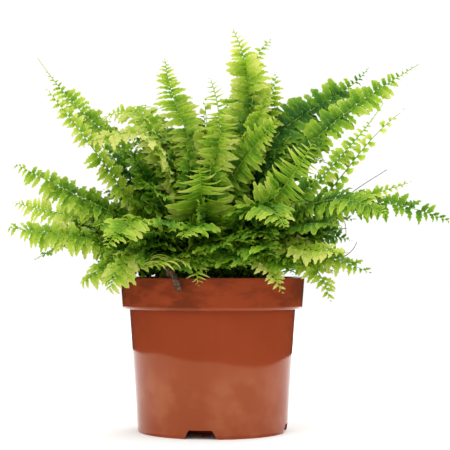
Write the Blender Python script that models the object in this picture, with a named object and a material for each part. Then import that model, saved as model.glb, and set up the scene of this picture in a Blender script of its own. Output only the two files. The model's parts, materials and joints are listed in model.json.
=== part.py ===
"""Sword fern in a moulded nursery pot: pot, peat root ball, rhizome crown, fronds and wiry runners.

Metres, +Z up. The origin is the middle of the pot's underside. -Y is the front of the plant and +X
its right-hand side. Azimuths are degrees from +X towards +Y, elevations are degrees above level.
"""

import math

import bmesh
import bpy
import numpy as np
from mathutils import Matrix, Vector, noise

GAP = 0.0003
FRONT = np.array([0.0, -1.0, 0.0])

# Pot: tapered wall, overhanging rim band, raised floor that stands on a centre pad and a foot ring.
POT_HEIGHT = 0.100
POT_SIDES = 48
RIM_TOP_RADIUS = 0.0600
RIM_LOW_RADIUS = 0.0587
RIM_HEIGHT = 0.0205
BODY_TOP_RADIUS = 0.0540
BODY_LOW_RADIUS = 0.0486
WALL = 0.0012
LIP_ROUND = 0.0022
FLOOR_RISE = 0.0058
FOOT_RING_WIDTH = 0.0016
PAD_RADIUS = 0.0240
PAD_SLOPE = 0.0030
NOTCH_LOW_WIDTH = 0.0213
NOTCH_TOP_WIDTH = 0.0145
NOTCH_COUNT = 4
NOTCH_AZIMUTH = -99.0
NOTCH_REACH = 0.006
NOTCH_BELOW = 0.001
DRAIN_COUNT = 8
DRAIN_RADIUS = 0.0035
DRAIN_RING_RADIUS = 0.0365
DRAIN_SIDES = 16
POT_COLOUR = (0.43, 0.10, 0.035)
CUTTER_COLOUR = (0.5, 0.5, 0.5)

# Root ball and crown.
SOIL_EDGE_Z = 0.0880
SOIL_TOP_Z = 0.0915
SOIL_TOP_RADIUS = 0.0320
SOIL_RINGS = 5
SOIL_LUMP = 0.0011
SOIL_LUMPS_PER_M = 160.0
PEAT_COLOUR = (0.035, 0.022, 0.015)
CROWN_RADIUS = 0.0240
CROWN_HEIGHT = 0.0060
CROWN_SIDES = 32
CROWN_RINGS = 6
CROWN_EDGE = 0.001
CROWN_LUMP = 0.0009
CROWN_LUMPS_PER_M = 220.0
RHIZOME_COLOUR = (0.12, 0.06, 0.03)

# Fronds and runners: points along each spine, and the four-sided section of stipe and blade.
SPINE_POINTS = 37
STIPE_RADIUS = 0.0009
RUNNER_RADIUS = 0.0006
TIP_RADIUS = 0.00025
BLADE_TOP = 0.0003
BLADE_KEEL = 0.0009
STIPE_POINTS = 6
VALLEY_SHARE = 0.5
WIDENING_SHARE = 0.2
WIDENING_POWER = 0.6
TAPER_POWER = 2.4
SECTION_GAP = 0.0004
FOOT_LIFT = 0.0012

# How neighbours push each other apart: feet on the crown, then whole spines.
FOOT_SPACING = 0.0052
FOOT_REACH = 0.0310
FOOT_ROUNDS = 80
SPINE_ROUNDS = 60
CLEAR_AT_FOOT = 0.0042
CLEAR_AT_TIP = 0.0090
STIFF_SHARE = 0.3
CLEAR_SHARE = 0.5
SUBSTEPS = 3
SMOOTHING = 0.45

# Each frond, in millimetres and degrees: the azimuth and radius of its foot, the elevation and
# length of its straight start, the shoulder that it bends over, its tip, its widest half-width, how
# far its upper face turns to the front, and its kind of leaf.
FRONDS = (
    # Upright fronds in the middle.
    (70, 8, 75, 75, (44, 16, 205), (14, 20, 266), 17, 1, "pale"),
    (60, 16, 70, 75, (18, 33, 250), (39, 45, 262), 12, 1, "young"),
    (35, 14, 90, 65, (40, 22, 215), (43, 30, 235), 12, 1, "young"),
    (135, 14, 105, 80, (-31, 34, 212), (-32, 35, 247), 17, 1, "young"),
    (-110, 8, 70, 65, (15, -32, 180), (-1, -45, 223), 17, 3, "pale"),
    (120, 10, 85, 50, (-3, 6, 170), (-5, 5, 214), 10, 1, "young"),
    (-70, 10, 90, 75, (24, -33, 175), (40, -45, 199), 16, 3, "young"),
    (-105, 20, 85, 40, (-6, -52, 145), (-8, -68, 166), 23, 3, "young"),
    (-50, 20, 75, 55, (32, -46, 130), (61, -60, 182), 18, 3, "young"),
    # Long fronds that reach up and out to the left.
    (168, 20, 87, 90, (-69, 31, 175), (-121, 45, 251), 11, 0.6, "mature"),
    (-165, 22, 62, 60, (-78, -31, 186), (-103, -35, 217), 10, 0.8, "round"),
    (-150, 22, 80, 60, (-20, -38, 212), (-78, -45, 183), 11, 0.2, "pale"),
    (150, 20, 100, 75, (-45, 31, 235), (-75, 40, 207), 10, 0.6, "young"),
    (-178, 26, 75, 50, (-37, -7, 125), (-125, -10, 172), 12, 0.7, "mature"),
    (165, 28, 75, 50, (-54, 25, 130), (-134, 35, 150), 13, 0.9, "young"),
    (-165, 28, 45, 50, (-80, -25, 125), (-126, -35, 131), 13, 0.6, "mature"),
    # Fronds that hang over the rim or lean out at the front.
    (-150, 29, 75, 28, (-53, -34, 122), (-79, -45, 98), 12, 0.5, "young"),
    (-138, 29, 75, 28, (-50, -46, 130), (-62, -60, 95), 11, 0.5, "pale"),
    (-118, 29, 75, 25, (-10, -60, 115), (-38, -78, 107), 12, 0.3, "pale"),
    (-105, 31, 75, 20, (-12, -58, 122), (-9, -66, 97), 8, 0.5, "young"),
    (-62, 30, 75, 25, (22, -55, 135), (41, -68, 93), 8, 0.5, "pale"),
    (-40, 30, 70, 35, (66, -44, 120), (71, -60, 88), 9, 0.5, "young"),
    (-128, 26, 72, 40, (-45, -70, 150), (-62, -98, 118), 14, 0.4, "young"),
    (-72, 25, 76, 45, (30, -62, 160), (42, -96, 130), 15, 0.3, "mature"),
    (-34, 26, 74, 45, (72, -46, 165), (104, -68, 138), 14, 0.5, "mature"),
    (-95, 24, 78, 40, (-5, -62, 140), (-18, -92, 124), 14, 0.4, "mature"),
    # Fronds to the right, from the highest to the lowest.
    (30, 18, 92, 125, (76, 38, 202), (108, 45, 244), 14, 0.6, "mature"),
    (10, 20, 95, 75, (118, 14, 230), (138, 15, 242), 12, 0.7, "mature"),
    (-20, 22, 50, 60, (98, -10, 190), (111, -10, 213), 9, 0.8, "pale"),
    (-8, 24, 45, 70, (90, -17, 185), (120, -25, 205), 9, 0.8, "round"),
    (-15, 27, 70, 45, (90, -28, 150), (122, -40, 159), 9, 0.5, "pale"),
    (-8, 28, 75, 50, (92, -14, 164), (151, -20, 136), 14, 0.6, "mature"),
    (-12, 29, 75, 30, (49, -12, 140), (88, -15, 124), 12, 0.5, "mature"),
    (-50, 28, 65, 35, (35, -56, 122), (78, -75, 115), 13, 0.4, "young"),
    (-28, 30, 70, 30, (70, -37, 117), (95, -50, 104), 11, 0.4, "mature"),
)

# The fronds that fill the middle and the back, in three tiers: the azimuth they spread about and how
# far, foot radius, first elevation, straight start, shoulder and tip (reach, height), half-width, kind.
TIERS = (
    (90, 128, 12, 88, 60, (28, 180), (46, 212), 15, "young"),
    (90, 58, 21, 82, 60, (60, 186), (104, 170), 15, "mature"),
    (105, 72, 28, 72, 40, (72, 146), (122, 116), 14, "mature"),
)
FILL_COUNT = 18
FILL_VARIATION = 0.2
FILL_NOISE_STEP = 1.7
GOLDEN_SHARE = 0.618

# Wiry runners: azimuth and radius of the foot, elevation and length of the start, shoulder and tip.
RUNNERS = (
    (-4, 31, 70, 40, (85, -18, 152), (112, -20, 169)),
    (-18, 31, 75, 35, (86, -24, 165), (85, -25, 127)),
    (-34, 31, 60, 25, (82, -40, 103), (90, -42, 122)),
)
ROOT_TIP = ((-28, -43, 91.5), (-27, -52, 112), (-27, -62, 107), (-19.5, -58.5, 92))

LEAF_KINDS = {
    "mature": ((0.09, 0.26, 0.03), 0.45),
    "young": ((0.30, 0.48, 0.06), 0.50),
    "pale": ((0.55, 0.62, 0.20), 0.55),
    "round": ((0.20, 0.42, 0.05), 0.50),
    "runner": ((0.20, 0.13, 0.06), 0.70),
}


def material(name, colour, roughness, metallic=0.0):
    """A Principled material, made once for each name."""
    found = bpy.data.materials.get(name)
    if found:
        return found
    made = bpy.data.materials.new(name)
    made.use_nodes = True
    shader = made.node_tree.nodes["Principled BSDF"]
    shader.inputs["Base Color"].default_value = (*colour, 1.0)
    shader.inputs["Roughness"].default_value = roughness
    shader.inputs["Metallic"].default_value = metallic
    return made


def add_object(name, bm, finish, sharp_deg=40.0):
    """Turn a bmesh into a smooth-shaded object with its material."""
    mesh = bpy.data.meshes.new(name)
    bm.to_mesh(mesh)
    bm.free()
    mesh.materials.append(finish)
    mesh.shade_smooth()
    mesh.set_sharp_from_angle(angle=math.radians(sharp_deg))
    made = bpy.data.objects.new(name, mesh)
    bpy.context.collection.objects.link(made)
    return made


def turned(profile, sides):
    """Spin an (r, z) outline about Z. It runs up the outside and back down the axis side."""
    bm = bmesh.new()
    corners = [bm.verts.new((r, 0.0, z)) for r, z in profile]
    edges = [bm.edges.new(pair) for pair in zip(corners, corners[1:])]
    bmesh.ops.spin(bm, geom=corners + edges, cent=(0, 0, 0), axis=(0, 0, 1), angle=math.tau,
                   steps=sides, use_merge=True)
    bmesh.ops.remove_doubles(bm, verts=bm.verts, dist=1e-6)
    bmesh.ops.recalc_face_normals(bm, faces=bm.faces)
    return bm


def arc(centre, radius, first_deg, last_deg, steps):
    """Points of a circular arc in the (r, z) plane."""
    angles = np.radians(np.linspace(first_deg, last_deg, steps + 1))
    return [(centre[0] + radius * math.cos(a), centre[1] + radius * math.sin(a)) for a in angles]


def body_radius(z):
    """Outer radius of the tapered wall at a height."""
    share = z / (POT_HEIGHT - RIM_HEIGHT)
    return BODY_LOW_RADIUS + (BODY_TOP_RADIUS - BODY_LOW_RADIUS) * share


def floor_outline(offset):
    """The raised floor from the wall to the axis, offset upwards from its underside."""
    return [
        (PAD_RADIUS + PAD_SLOPE, FLOOR_RISE + offset),
        (PAD_RADIUS, offset),
        (0.0, offset),
    ]


def pot_outline():
    """Closed outline of the pot's wall, from the underside's centre round to the floor's centre."""
    rim_low = POT_HEIGHT - RIM_HEIGHT
    lip_centre = (RIM_LOW_RADIUS - LIP_ROUND, rim_low + LIP_ROUND)
    brim_round = WALL / 2
    brim_centre = (RIM_TOP_RADIUS - brim_round, POT_HEIGHT - brim_round)
    foot_inside = BODY_LOW_RADIUS - FOOT_RING_WIDTH
    return [
        *reversed(floor_outline(0.0)),
        (foot_inside, FLOOR_RISE),
        (foot_inside, 0.0),
        (BODY_LOW_RADIUS, 0.0),
        (body_radius(rim_low / 2), rim_low / 2),
        (BODY_TOP_RADIUS, rim_low),
        *arc(lip_centre, LIP_ROUND, -90, 0, 3),
        *arc(brim_centre, brim_round, 0, 180, 4),
        (RIM_LOW_RADIUS - WALL, rim_low + LIP_ROUND + WALL),
        (BODY_TOP_RADIUS - WALL, rim_low + WALL),
        (body_radius(FLOOR_RISE + WALL) - WALL, FLOOR_RISE + WALL),
        *floor_outline(WALL),
    ]


def cutter(name, bm):
    """A hidden tool that a Boolean subtracts."""
    tool = add_object(name, bm, material("cutter", CUTTER_COLOUR, 0.5))
    tool.hide_render = True
    tool.display_type = "WIRE"
    return tool


def notch_tool():
    """Trapezoid prisms through the foot ring, joined in one cutter."""
    bm = bmesh.new()
    inner = BODY_LOW_RADIUS - NOTCH_REACH
    outer = BODY_LOW_RADIUS + NOTCH_REACH
    top = FLOOR_RISE - GAP
    slope = (NOTCH_LOW_WIDTH - NOTCH_TOP_WIDTH) / 2 / FLOOR_RISE
    low = NOTCH_LOW_WIDTH / 2 + slope * NOTCH_BELOW
    high = NOTCH_LOW_WIDTH / 2 - slope * top
    for index in range(NOTCH_COUNT):
        turn = Matrix.Rotation(math.radians(NOTCH_AZIMUTH + index * 360 / NOTCH_COUNT), 4, "Z")
        ends = []
        for x in (inner, outer):
            corners = ((x, -low, -NOTCH_BELOW), (x, low, -NOTCH_BELOW),
                       (x, high, top), (x, -high, top))
            ends.append([bm.verts.new(turn @ Vector(c)) for c in corners])
        bm.faces.new(reversed(ends[0]))
        bm.faces.new(ends[1])
        for k in range(4):
            bm.faces.new((ends[0][k], ends[0][k - 3], ends[1][k - 3], ends[1][k]))
    bmesh.ops.recalc_face_normals(bm, faces=bm.faces)
    return cutter("notch_tool", bm)


def drain_tool():
    """Round pins through the raised channel of the floor, joined in one cutter."""
    bm = bmesh.new()
    for index in range(DRAIN_COUNT):
        angle = math.radians(NOTCH_AZIMUTH) + math.tau * (index + 0.5) / DRAIN_COUNT
        middle = Vector((math.cos(angle), math.sin(angle), 0)) * DRAIN_RING_RADIUS
        middle.z = FLOOR_RISE + WALL / 2
        bmesh.ops.create_cone(bm, cap_ends=True, segments=DRAIN_SIDES, radius1=DRAIN_RADIUS,
                              radius2=DRAIN_RADIUS, depth=4 * WALL,
                              matrix=Matrix.Translation(middle))
    return cutter("drain_tool", bm)


def make_pot():
    finish = material("pot_plastic", POT_COLOUR, 0.28)
    pot = add_object("pot", turned(pot_outline(), POT_SIDES), finish)
    for tool in (notch_tool(), drain_tool()):
        cut = pot.modifiers.new(tool.name, "BOOLEAN")
        cut.operation = "DIFFERENCE"
        cut.solver = "EXACT"
        cut.object = tool
    return pot


def soil_height(radius):
    """Top of the root ball: level under the crown, falling a little to the wall."""
    share = np.clip((radius - SOIL_TOP_RADIUS) / (BODY_TOP_RADIUS - SOIL_TOP_RADIUS), 0, 1)
    return SOIL_TOP_Z - (SOIL_TOP_Z - SOIL_EDGE_Z) * share


def make_soil():
    """Peat root ball: the pot's inside less a gap, with a lumpy top."""
    rim_low = POT_HEIGHT - RIM_HEIGHT
    inset = WALL + GAP
    edge = BODY_TOP_RADIUS - inset
    rings = np.linspace(edge, SOIL_TOP_RADIUS, SOIL_RINGS)
    outline = [
        *reversed(floor_outline(WALL + GAP)),
        (body_radius(FLOOR_RISE + inset) - inset, FLOOR_RISE + inset),
        (body_radius(rim_low / 2) - inset, rim_low / 2),
        (edge, rim_low),
        *[(r, float(soil_height(r))) for r in rings],
        (CROWN_RADIUS, SOIL_TOP_Z),
        (0.0, SOIL_TOP_Z),
    ]
    bm = turned(outline, POT_SIDES)
    for vert in bm.verts:
        radius = math.hypot(vert.co.x, vert.co.y)
        if vert.co.z > rim_low + GAP and radius > SOIL_TOP_RADIUS + GAP:
            vert.co.z += SOIL_LUMP * noise.noise(vert.co * SOIL_LUMPS_PER_M)
    return add_object("soil", bm, material("peat", PEAT_COLOUR, 0.95))


def crown_height(radius):
    """Top of the crown's dome at a radius, the soil's top outside it."""
    share = np.clip(1 - (radius / CROWN_RADIUS) ** 2, 0, 1)
    return SOIL_TOP_Z + GAP + CROWN_HEIGHT * share


def make_crown():
    """Low knobbly rhizome dome that the fronds rise from."""
    base = SOIL_TOP_Z + GAP
    radii = CROWN_RADIUS * np.cos(np.linspace(0, math.pi / 2, CROWN_RINGS))
    outline = [
        (0.0, base),
        (CROWN_RADIUS - CROWN_EDGE, base),
        (CROWN_RADIUS, base + GAP),
        *[(float(r), float(crown_height(r))) for r in radii[1:-1]],
        (0.0, base + CROWN_HEIGHT),
    ]
    bm = turned(outline, CROWN_SIDES)
    for vert in bm.verts:
        if vert.co.z > base + 2 * GAP:
            vert.co.z += CROWN_LUMP * (noise.noise(vert.co * CROWN_LUMPS_PER_M) - 0.5)
    return add_object("crown", bm, material("rhizome", RHIZOME_COLOUR, 0.9))


def spine(foot, handle, shoulder, tip):
    """Equal steps along a cubic curve through four points, as an array."""
    t = np.linspace(0, 1, 8 * SPINE_POINTS)[:, None]
    curve = ((1 - t) ** 3 * foot + 3 * (1 - t) ** 2 * t * handle
             + 3 * (1 - t) * t ** 2 * shoulder + t ** 3 * tip)
    travelled = np.append(0, np.linalg.norm(np.diff(curve, axis=0), axis=1)).cumsum()
    steps = np.linspace(0, travelled[-1], SPINE_POINTS)
    return np.stack([np.interp(steps, travelled, axis) for axis in curve.T], 1)


def polar(azimuth, reach, height):
    """A point from an azimuth in degrees, a reach and a height."""
    turn = math.radians(azimuth)
    return np.array([reach * math.cos(turn), reach * math.sin(turn), height])


def fill_frond(index):
    """One of the filling fronds, in the same terms as the FRONDS rows."""
    middle, spread, foot_radius, first, start, *reached, width, kind = TIERS[index % len(TIERS)]
    azimuth = middle + spread * (2 * (index * GOLDEN_SHARE % 1) - 1)
    wider, higher = (
        1 + FILL_VARIATION * noise.noise(Vector((index * FILL_NOISE_STEP, channel, channel)))
        for channel in (0.4, 0.7)
    )
    points = [polar(azimuth, reach * wider, height * higher) for reach, height in reached]
    return azimuth, foot_radius, first, start, *points, width, 0, kind


def spread_feet(feet):
    """Push the feet of the fronds apart on the crown until none crowd."""
    spread = np.array(feet)
    for _ in range(FOOT_ROUNDS):
        apart = spread[:, None] - spread[None]
        far = np.linalg.norm(apart, axis=2) + np.eye(len(spread))
        short = np.clip(FOOT_SPACING - far, 0, None)
        spread += (apart / far[:, :, None] * short[:, :, None] * 0.5).sum(1)
        reach = np.linalg.norm(spread, axis=1, keepdims=True)
        spread *= np.minimum(1, FOOT_REACH / np.maximum(reach, GAP))
    return spread


def finer(points):
    """A spine with more points, evenly between its own."""
    steps = np.linspace(0, len(points) - 1, (len(points) - 1) * SUBSTEPS + 1)
    return np.stack([np.interp(steps, range(len(points)), axis) for axis in points.T], 1)


def settle(spines):
    """Neighbouring fronds shoulder each other aside, stiff at the foot and free at the tip."""
    homes = [points.copy() for points in spines]
    share = np.linspace(0, 1, SPINE_POINTS)
    freedom = np.clip(share / STIFF_SHARE, 0, 1) ** 2
    spreading = np.clip(share / CLEAR_SHARE, 0, 1)
    clear = CLEAR_AT_FOOT + (CLEAR_AT_TIP - CLEAR_AT_FOOT) * spreading
    rows = np.arange(SPINE_POINTS)
    for _ in range(SPINE_ROUNDS):
        dense = [finer(points) for points in spines]
        for index, (points, home) in enumerate(zip(spines, homes)):
            others = np.concatenate(dense[:index] + dense[index + 1:])
            apart = points[:, None] - others[None]
            far = np.linalg.norm(apart, axis=2)
            near = far.argmin(1)
            least = far[rows, near]
            push = apart[rows, near] / least[:, None]
            points += push * (np.clip(clear - least, 0, None) * freedom / 2)[:, None]
            moved = points - home
            moved[1:-1] += SMOOTHING * (moved[:-2] - 2 * moved[1:-1] + moved[2:])
            points[:] = home + moved


def room_round(spines):
    """Half the distance to the nearest neighbour, or the distance to the pot, at each station."""
    dense = [finer(points) for points in spines]
    rooms = []
    for index, points in enumerate(dense):
        others = np.concatenate(dense[:index] + dense[index + 1:])
        half = np.linalg.norm(points[:, None] - others[None], axis=2).min(1) / 2
        radius = np.linalg.norm(points[:, :2], axis=1)
        brim = np.abs(radius - (RIM_TOP_RADIUS - WALL / 2)) - WALL / 2
        over = np.clip(points[:, 2] - POT_HEIGHT, 0, None)
        pot = np.hypot(np.clip(brim, 0, None), over)
        least = np.minimum(half, pot)
        span = [least[max(0, k * SUBSTEPS - SUBSTEPS):k * SUBSTEPS + SUBSTEPS + 1].min()
                for k in range(SPINE_POINTS)]
        rooms.append(np.array(span) - SECTION_GAP)
    return rooms


def blade_widths(width, room):
    """Half-width at each station: a bare stipe, then teeth that grow and shrink to the tip."""
    widths = np.full(SPINE_POINTS, STIPE_RADIUS)
    if width:
        blade = SPINE_POINTS - STIPE_POINTS
        share = (np.arange(blade) + 0.5) / blade
        outline = np.clip(share / WIDENING_SHARE, 0, 1) ** WIDENING_POWER
        outline *= 1 - share ** TAPER_POWER
        teeth = np.where(np.arange(blade) % 2, VALLEY_SHARE, 1.0)
        widths[STIPE_POINTS:] = np.maximum(width * outline * teeth, STIPE_RADIUS)
    else:
        widths[:] = RUNNER_RADIUS
    widths[-1] = TIP_RADIUS
    return np.minimum(widths, room)


def section_frames(points, turn):
    """Side and upper-face directions: the face looks up and inwards, then turns to the front."""
    along = np.gradient(points, axis=0)
    along /= np.linalg.norm(along, axis=1, keepdims=True)
    out = points[-1, :2] - points[0, :2]
    heading = np.array([out[1], -out[0], 0.0]) / max(np.linalg.norm(out), GAP)
    upper = np.cross(heading, along)
    upper += FRONT * turn * np.sqrt(np.linspace(0, 1, SPINE_POINTS))[:, None]
    upper -= along * (upper * along).sum(1)[:, None]
    upper /= np.linalg.norm(upper, axis=1, keepdims=True)
    return np.cross(along, upper), upper


def make_frond(name, points, widths, turn, kind):
    """Closed solid with four sides: left edge, upper ridge, right edge and keel."""
    side, upper = section_frames(points, turn)
    top = np.minimum(np.where(widths > STIPE_RADIUS, BLADE_TOP, widths), widths)
    keel = np.minimum(np.where(widths > STIPE_RADIUS, BLADE_KEEL, widths), widths)
    bm = bmesh.new()
    rings = []
    for k, point in enumerate(points):
        corners = (point - side[k] * widths[k], point + upper[k] * top[k],
                   point + side[k] * widths[k], point - upper[k] * keel[k])
        rings.append([bm.verts.new(c) for c in corners])
    for low, high in zip(rings, rings[1:]):
        for k in range(4):
            bm.faces.new((low[k], low[k - 3], high[k - 3], high[k]))
    bm.faces.new(reversed(rings[0]))
    bm.faces.new(rings[-1])
    bmesh.ops.triangulate(bm, faces=bm.faces)
    bmesh.ops.recalc_face_normals(bm, faces=bm.faces)
    colour, roughness = LEAF_KINDS[kind]
    return add_object(name, bm, material(f"leaf_{kind}", colour, roughness), sharp_deg=25.0)


def plan_rows():
    """Names and rows of all fronds and runners."""
    rows = [*FRONDS, *(fill_frond(index) for index in range(FILL_COUNT))]
    names = [f"frond_{index + 1:02d}" for index in range(len(rows))]
    rows += [(*row, 0, 0, "runner") for row in RUNNERS]
    names += [f"runner_{index + 1}" for index in range(len(RUNNERS))]
    return names, rows


def plan_spines(rows):
    """The settled spine of each row."""
    feet = spread_feet([polar(row[0], row[1] / 1000, 0)[:2] for row in rows])
    spines = []
    for (azimuth, _, first, start, shoulder, tip, *_), (x, y) in zip(rows, feet):
        foot = np.array([x, y, float(crown_height(math.hypot(x, y))) + FOOT_LIFT])
        rise = math.radians(first)
        handle = foot + polar(azimuth, math.cos(rise), math.sin(rise)) * start / 1000
        spines.append(spine(foot, handle, np.array(shoulder) / 1000, np.array(tip) / 1000))
    settle(spines)
    return spines


def make_plant():
    """All fronds and runners, and the root tip over the rim, sized so that none touch."""
    names, rows = plan_rows()
    spines = plan_spines(rows)
    names.append("root_tip")
    rows.append((0, 0, "runner"))
    spines.append(spine(*(np.array(point) / 1000 for point in ROOT_TIP)))
    rooms = room_round(spines)
    for name, points, room, row in zip(names, spines, rooms, rows):
        width, turn, kind = row[-3:]
        make_frond(name, points, blade_widths(width / 1000, room), turn, kind)


def main():
    for found in list(bpy.data.objects):
        bpy.data.objects.remove(found)
    make_pot()
    make_soil()
    make_crown()
    make_plant()


if __name__ == "__main__":
    main()
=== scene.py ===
"""Looks of a sword fern in a moulded nursery pot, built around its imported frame.

Metres, +Z up, -Y to the front. Every frond, runner and pot piece takes its place from the node that
it replaces. The undergrowth replaces no node: its rachises lie between those of the fronds. Leaflets
are instanced along each rachis with Geometry Nodes and then made real.
"""

import json
import math
from dataclasses import dataclass

import bmesh
import bpy
import numpy as np
from mathutils import Matrix, Vector, noise


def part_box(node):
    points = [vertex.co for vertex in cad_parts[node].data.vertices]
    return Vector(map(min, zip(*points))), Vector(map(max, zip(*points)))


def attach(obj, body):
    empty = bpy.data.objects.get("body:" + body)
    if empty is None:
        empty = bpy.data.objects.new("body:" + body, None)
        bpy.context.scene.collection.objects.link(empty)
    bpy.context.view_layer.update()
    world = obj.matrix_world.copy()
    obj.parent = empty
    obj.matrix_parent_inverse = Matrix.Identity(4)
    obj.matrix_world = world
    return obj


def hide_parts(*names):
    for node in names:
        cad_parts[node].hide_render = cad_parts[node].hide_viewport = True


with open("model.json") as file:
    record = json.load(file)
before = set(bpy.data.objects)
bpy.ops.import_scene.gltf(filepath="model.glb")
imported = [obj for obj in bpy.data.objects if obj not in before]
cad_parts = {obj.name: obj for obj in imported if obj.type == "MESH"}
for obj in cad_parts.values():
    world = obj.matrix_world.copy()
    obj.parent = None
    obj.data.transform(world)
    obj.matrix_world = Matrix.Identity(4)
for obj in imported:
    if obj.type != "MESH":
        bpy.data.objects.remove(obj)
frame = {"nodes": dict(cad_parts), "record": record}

bl_info = {
    "name": "Potted fern",
    "version": (1, 0, 0),
    "blender": (4, 5, 0),
    "location": "View3D > Sidebar > Fern",
    "description": "Builds a sword fern in its pot, and a plain studio round it",
    "category": "Object",
}

BAKE_MAP = "OFBake"
RING = 4
TINY = 1e-6

# How a kind of leaflet is shaped. Lengths are shares of the leaflet's own length, and angles are in
# radians.
@dataclass(frozen=True)
class Shape:
    half: float
    base: float
    tip: float
    tip_power: float
    tooth: float
    slant: float
    fold: float
    ruffle: float
    droop: float
    sweep: float
    twist: float


SHAPES = {
    "strap": Shape(0.130, 0.06, 0.50, 0.6, 0.18, 0.35, 0.25, 0.40, 1.05, 0.15, 0.45),
    "broad": Shape(0.170, 0.07, 0.45, 0.6, 0.20, 0.30, 0.20, 0.45, 1.00, 0.15, 0.45),
    "oblong": Shape(0.180, 0.06, 0.28, 0.5, 0.18, 0.15, 0.18, 0.42, 0.85, 0.10, 0.40),
    "lobed": Shape(0.23, 0.12, 0.60, 0.7, 0.36, 0.50, 0.25, 0.50, 0.80, 0.15, 0.60),
    "finger": Shape(0.085, 0.10, 0.80, 0.8, 0.10, 0.20, 0.40, 0.10, 1.00, 0.25, 0.50),
    "fan": Shape(0.42, 0.70, 0.22, 0.5, 0.16, 0.15, 0.10, 0.25, 0.40, 0.05, 0.30),
}
SHAPE_NAMES = tuple(SHAPES)
VARIANTS = 4
LEAF_ROWS = 10
LEAF_COLUMNS = (-1.0, -0.5, 0.0, 0.5, 1.0)
LEAF_THICKNESS = 0.02
LEAF_SETBACK = 0.02
LEAF_FOOT_WIDTH = 0.22
LEAF_VARIES = (0.7, 1.3)
RUFFLES = (19, 17)
FOLD_EASE = 1.4


# How a frond is furnished: leaflet shapes of its blade and tip, where the tip starts, pitch in
# millimetres, share of its leaflets that are missing, how much they hang, and how thin its tip runs
# out: 1 is a blunt tip.
@dataclass(frozen=True)
class Style:
    blade: str
    tip: str
    tip_from: float
    pitch: float
    missing: float
    hang: float
    tail: float


STYLES = {
    "feather": Style("strap", "broad", 0.86, 2.7, 0.02, 0.15, 1.2),
    "plume": Style("broad", "broad", 0.90, 3.3, 0.02, 0.15, 1.4),
    "sword": Style("oblong", "broad", 0.88, 3.6, 0.02, 0.10, 2.0),
    "maple": Style("lobed", "lobed", 0.80, 3.9, 0.05, 0.25, 1.0),
    "fringe": Style("strap", "finger", 0.66, 2.8, 0.02, 0.20, 1.0),
    "fan": Style("fan", "fan", 0.90, 5.5, 0.30, 0.10, 1.0),
    "drape": Style("lobed", "broad", 0.80, 3.2, 0.03, 0.45, 0.7),
    "tailed": Style("lobed", "oblong", 0.66, 3.6, 0.05, 0.20, 3.5),
}
KIND_STYLE = {"mature": "sword", "young": "plume", "pale": "feather", "round": "fan"}
KIND_HALF_WIDTH = {"mature": 18.0, "young": 18.0, "pale": 14.0, "round": 11.0}
KIND_TONE = {"mature": 0.42, "young": 0.58, "pale": 0.76, "round": 0.60}

# Fronds that differ from their kind: style, half-width in millimetres, tone from dark 0 to pale 1,
# and how far the blade rolls round its rachis to face the front.
HABITS = {
    "frond_01": ("plume", 18.0, 0.70, 0.0),
    "frond_02": ("maple", 13.0, 0.66, 0.3),
    "frond_03": ("maple", 15.0, 0.62, 0.3),
    "frond_04": ("feather", 17.0, 0.66, 0.0),
    "frond_05": ("fringe", 14.0, 0.66, 0.0),
    "frond_06": ("fan", 12.0, 0.64, 0.0),
    "frond_07": ("feather", 15.0, 0.52, 0.0),
    "frond_08": ("fringe", 23.0, 0.60, 0.0),
    "frond_09": ("fringe", 18.0, 0.60, 0.2),
    "frond_10": ("tailed", 15.0, 0.66, 0.4),
    "frond_11": ("maple", 12.0, 0.76, 0.5),
    "frond_12": ("maple", 17.0, 0.80, 0.3),
    "frond_13": ("plume", 19.0, 0.68, 0.3),
    "frond_14": ("drape", 15.0, 0.58, 0.6),
    "frond_15": ("feather", 17.0, 0.76, 0.6),
    "frond_16": ("drape", 16.0, 0.64, 0.5),
    "frond_17": ("drape", 16.0, 0.62, 0.2),
    "frond_18": ("drape", 16.0, 0.66, 0.2),
    "frond_19": ("fringe", 15.0, 0.80, 0.0),
    "frond_20": ("fringe", 11.0, 0.66, 0.0),
    "frond_21": ("maple", 11.0, 0.74, 0.0),
    "frond_22": ("maple", 13.0, 0.62, 0.2),
    "frond_23": ("plume", 17.0, 0.54, 0.0),
    "frond_24": ("plume", 18.0, 0.48, 0.0),
    "frond_25": ("feather", 17.0, 0.48, 0.3),
    "frond_26": ("plume", 17.0, 0.44, 0.0),
    "frond_27": ("sword", 19.0, 0.40, 1.0),
    "frond_28": ("sword", 15.0, 0.52, 0.7),
    "frond_29": ("tailed", 10.0, 0.70, 0.4),
    "frond_30": ("fan", 7.5, 0.66, 0.4),
    "frond_31": ("maple", 10.0, 0.66, 0.5),
    "frond_32": ("maple", 14.0, 0.42, 0.6),
    "frond_33": ("plume", 15.0, 0.36, 0.4),
    "frond_34": ("maple", 16.0, 0.74, 0.2),
    "frond_35": ("maple", 14.0, 0.56, 0.3),
}
STIPE_SHARE = 0.14

# The undergrowth: how far apart two fronds pair and how often, its length as a share of theirs, how
# much shorter it gets for each metre between them and the shortest share, and how many pieces it is
# in. Fronds whose tips are low are also turned about the pot, by so many degrees, and cut to a share
# of their length.
UNDER_NEAR = 0.03
UNDER_FAR = 0.11
UNDER_EACH = 5
UNDER_LENGTH = 0.98
UNDER_SHORTER = 3.4
UNDER_SHORTEST = 0.5
UNDER_PIECES = 8
UNDER_LOW = 0.12
UNDER_TURNS = ((-38.0, 0.7), (-17.0, 0.78), (14.0, 0.78), (-125.0, 0.6), (-70.0, 0.6),
               (70.0, 0.6), (125.0, 0.6), (180.0, 0.6))
UNDER_STYLES = ("sword", "maple", "plume")
UNDER_TONE = 0.34
UNDER_FIRST_SEED = 200

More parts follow.
